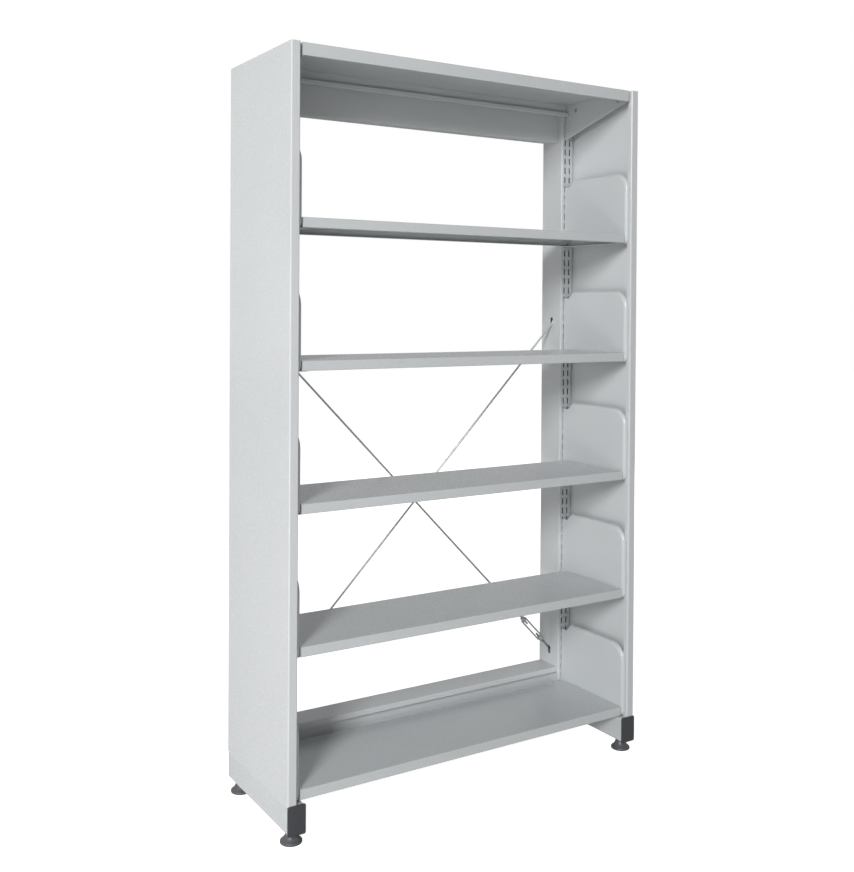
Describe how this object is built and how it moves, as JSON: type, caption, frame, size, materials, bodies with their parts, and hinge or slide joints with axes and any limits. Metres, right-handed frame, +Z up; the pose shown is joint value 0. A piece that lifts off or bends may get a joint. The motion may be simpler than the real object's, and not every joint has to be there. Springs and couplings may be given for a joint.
{
  "type": "single-sided library shelving",
  "caption": "Tall open-backed steel library shelving bay with end panels, canopy, slotted posts, hooked shelves and crossed brace rods",
  "frame": {"origin": "on the floor, under the middle of the bounding box of the whole bay", "axes": "+Z up; the open front faces -Y; X runs along the shelves, +X to the right seen from the front"},
  "size_m": [0.9828, 0.3454, 1.6995],
  "materials": {
    "panel_paint": "light grey powder coat, satin",
    "frame_paint": "light grey powder coat, satin",
    "shelf_paint": "light grey powder coat, satin",
    "black_plastic": "fine matt grain",
    "zinc_steel": "bright zinc plate",
    "rod_steel": "dull zinc plate",
    "brass_plate": "yellow zinc plate"
  },
  "bodies": {
    "frame": {"upright_left": "frame_paint", "upright_right": "frame_paint", "end_panel_left": "panel_paint", "end_panel_right": "panel_paint", "base_leg_left": "shelf_paint", "base_leg_right": "shelf_paint", "leg_cap_front_left": "black_plastic", "leg_cap_front_right": "black_plastic", "leg_cap_rear_left": "black_plastic", "leg_cap_rear_right": "black_plastic", "foot_nuts": "zinc_steel", "panel_screws": "zinc_steel", "beam_screws": "zinc_steel", "top_beam": "frame_paint", "bottom_beam": "frame_paint", "canopy": "shelf_paint", "canopy_bracket_left": "shelf_paint", "canopy_bracket_right": "shelf_paint", "canopy_screws": "brass_plate", "brace_rod_a_upper": "rod_steel", "brace_rod_a_lower": "rod_steel", "brace_rod_b_upper": "rod_steel", "brace_rod_b_lower": "rod_steel"},
    "foot_pad_front_left": {"foot_pad_front_left": "black_plastic"},
    "foot_stud_front_left": {"foot_stud_front_left": "zinc_steel"},
    "foot_pad_front_right": {"foot_pad_front_right": "black_plastic"},
    "foot_stud_front_right": {"foot_stud_front_right": "zinc_steel"},
    "foot_pad_rear_left": {"foot_pad_rear_left": "black_plastic"},
    "foot_stud_rear_left": {"foot_stud_rear_left": "zinc_steel"},
    "foot_pad_rear_right": {"foot_pad_rear_right": "black_plastic"},
    "foot_stud_rear_right": {"foot_stud_rear_right": "zinc_steel"},
    "base_brackets": {"base_bracket_left": "shelf_paint", "base_bracket_right": "shelf_paint"},
    "base_shelf": {"base_shelf": "shelf_paint"},
    "brackets_1": {"bracket_1_left": "shelf_paint", "bracket_1_right": "shelf_paint"},
    "shelf_1": {"shelf_1": "shelf_paint"},
    "brackets_2": {"bracket_2_left": "shelf_paint", "bracket_2_right": "shelf_paint"},
    "shelf_2": {"shelf_2": "shelf_paint"},
    "brackets_3": {"bracket_3_left": "shelf_paint", "bracket_3_right": "shelf_paint"},
    "shelf_3": {"shelf_3": "shelf_paint"},
    "brackets_4": {"bracket_4_left": "shelf_paint", "bracket_4_right": "shelf_paint"},
    "shelf_4": {"shelf_4": "shelf_paint"},
    "turnbuckle_a": {"turnbuckle_a": "rod_steel"},
    "turnbuckle_b": {"turnbuckle_b": "rod_steel"}
  },
  "joints": [
    {"name": "foot_height_front_left", "type": "slide", "parent": "frame", "child": "foot_pad_front_left", "axis": [0, 0, 1], "range_m": [-0.015, 0]},
    {"name": "foot_screw_front_left", "type": "hinge", "parent": "foot_pad_front_left", "child": "foot_stud_front_left", "pos_m": [-0.4674, -0.1437, 0.027], "axis": [0, 0, 1], "range_deg": [-3601, 0]},
    {"name": "foot_height_front_right", "type": "slide", "parent": "frame", "child": "foot_pad_front_right", "axis": [0, 0, 1], "range_m": [-0.015, 0]},
    {"name": "foot_screw_front_right", "type": "hinge", "parent": "foot_pad_front_right", "child": "foot_stud_front_right", "pos_m": [0.4674, -0.1437, 0.027], "axis": [0, 0, 1], "range_deg": [-3601, 0]},
    {"name": "foot_height_rear_left", "type": "slide", "parent": "frame", "child": "foot_pad_rear_left", "axis": [0, 0, 1], "range_m": [-0.015, 0]},
    {"name": "foot_screw_rear_left", "type": "hinge", "parent": "foot_pad_rear_left", "child": "foot_stud_rear_left", "pos_m": [-0.4674, 0.1343, 0.027], "axis": [0, 0, 1], "range_deg": [-3601, 0]},
    {"name": "foot_height_rear_right", "type": "slide", "parent": "frame", "child": "foot_pad_rear_right", "axis": [0, 0, 1], "range_m": [-0.015, 0]},
    {"name": "foot_screw_rear_right", "type": "hinge", "parent": "foot_pad_rear_right", "child": "foot_stud_rear_right", "pos_m": [0.4674, 0.1343, 0.027], "axis": [0, 0, 1], "range_deg": [-3601, 0]},
    {"name": "base_brackets_unhook", "type": "slide", "parent": "frame", "child": "base_brackets", "axis": [0, 0, 1], "range_m": [0, 0.0075]},
    {"name": "base_shelf_lift", "type": "slide", "parent": "base_brackets", "child": "base_shelf", "axis": [0, 0, 1], "range_m": [0, 0.12]},
    {"name": "brackets_1_unhook", "type": "slide", "parent": "frame", "child": "brackets_1", "axis": [0, 0, 1], "range_m": [0, 0.0075]},
    {"name": "shelf_1_lift", "type": "slide", "parent": "brackets_1", "child": "shelf_1", "axis": [0, 0, 1], "range_m": [0, 0.12]},
    {"name": "brackets_2_unhook", "type": "slide", "parent": "frame", "child": "brackets_2", "axis": [0, 0, 1], "range_m": [0, 0.0075]},
    {"name": "shelf_2_lift", "type": "slide", "parent": "brackets_2", "child": "shelf_2", "axis": [0, 0, 1], "range_m": [0, 0.12]},
    {"name": "brackets_3_unhook", "type": "slide", "parent": "frame", "child": "brackets_3", "axis": [0, 0, 1], "range_m": [0, 0.0075]},
    {"name": "shelf_3_lift", "type": "slide", "parent": "brackets_3", "child": "shelf_3", "axis": [0, 0, 1], "range_m": [0, 0.12]},
    {"name": "brackets_4_unhook", "type": "slide", "parent": "frame", "child": "brackets_4", "axis": [0, 0, 1], "range_m": [0, 0.0075]},
    {"name": "shelf_4_lift", "type": "slide", "parent": "brackets_4", "child": "shelf_4", "axis": [0, 0, 1], "range_m": [0, 0.12]},
    {"name": "turnbuckle_a_spin", "type": "hinge", "parent": "frame", "child": "turnbuckle_a", "pos_m": [0.38229, 0.127, 0.25505], "axis": [-0.7001, 0, 0.714], "continuous": true},
    {"name": "turnbuckle_b_spin", "type": "hinge", "parent": "frame", "child": "turnbuckle_b", "pos_m": [-0.38229, 0.1216, 0.25505], "axis": [0.7001, 0, 0.714], "continuous": true}
  ],
  "couplings": [
    {"joint": "foot_screw_front_left", "follows": "foot_height_front_left", "rad_per_m": 4188.8},
    {"joint": "foot_screw_front_right", "follows": "foot_height_front_right", "rad_per_m": 4188.8},
    {"joint": "foot_screw_rear_left", "follows": "foot_height_rear_left", "rad_per_m": 4188.8},
    {"joint": "foot_screw_rear_right", "follows": "foot_height_rear_right", "rad_per_m": 4188.8}
  ]
}
